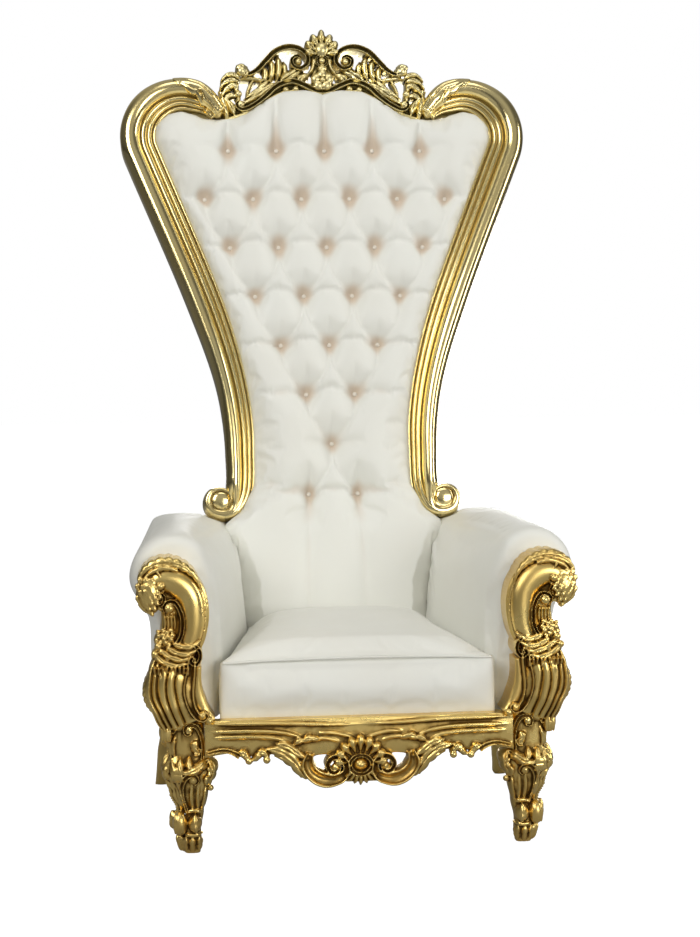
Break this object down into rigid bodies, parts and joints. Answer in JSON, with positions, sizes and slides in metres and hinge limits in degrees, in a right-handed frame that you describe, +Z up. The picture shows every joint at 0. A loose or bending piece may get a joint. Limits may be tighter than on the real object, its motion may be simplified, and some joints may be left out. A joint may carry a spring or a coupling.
{
  "type": "high-backed carved throne chair",
  "caption": "Tall rococo throne with a gilt carved frame, deep-buttoned ivory back, rolled arms, boxed seat and cabriole front legs.",
  "frame": {"origin": "middle of the footprint's bounding box, on the floor", "axes": "+Z up; -Y the way the sitter faces; +X the sitter's left"},
  "size_m": [0.9868, 0.8554, 1.8517],
  "materials": {
    "gilt_wood": "carved timber under burnished gold leaf, with brown shading in the hollows",
    "ivory_upholstery": "soft warm-white leatherette with a low sheen"
  },
  "bodies": {
    "root": {"back_side_member_left": "gilt_wood", "back_side_member_right": "gilt_wood", "crest": "gilt_wood", "arm_front_left": "gilt_wood", "arm_front_right": "gilt_wood", "front_leg_left": "gilt_wood", "front_leg_right": "gilt_wood", "rear_leg_left": "gilt_wood", "rear_leg_right": "gilt_wood", "side_rail_left": "gilt_wood", "side_rail_right": "gilt_wood", "front_rail": "gilt_wood", "rear_rail": "gilt_wood", "back_padding": "ivory_upholstery", "rear_panel": "ivory_upholstery", "arm_padding_left": "ivory_upholstery", "arm_padding_right": "ivory_upholstery", "seat": "ivory_upholstery", "button_1_1": "ivory_upholstery", "button_1_2": "ivory_upholstery", "button_1_3": "ivory_upholstery", "button_1_4": "ivory_upholstery", "button_1_5": "ivory_upholstery", "button_2_1": "ivory_upholstery", "button_2_2": "ivory_upholstery", "button_2_3": "ivory_upholstery", "button_2_4": "ivory_upholstery", "button_2_5": "ivory_upholstery", "button_2_6": "ivory_upholstery", "button_3_1": "ivory_upholstery", "button_3_2": "ivory_upholstery", "button_3_3": "ivory_upholstery", "button_3_4": "ivory_upholstery", "button_3_5": "ivory_upholstery", "button_4_1": "ivory_upholstery", "button_4_2": "ivory_upholstery", "button_4_3": "ivory_upholstery", "button_4_4": "ivory_upholstery", "button_5_1": "ivory_upholstery", "button_5_2": "ivory_upholstery", "button_5_3": "ivory_upholstery", "button_6_1": "ivory_upholstery", "button_6_2": "ivory_upholstery", "button_7_1": "ivory_upholstery", "button_8_1": "ivory_upholstery", "button_8_2": "ivory_upholstery"}
  },
  "joints": []
}
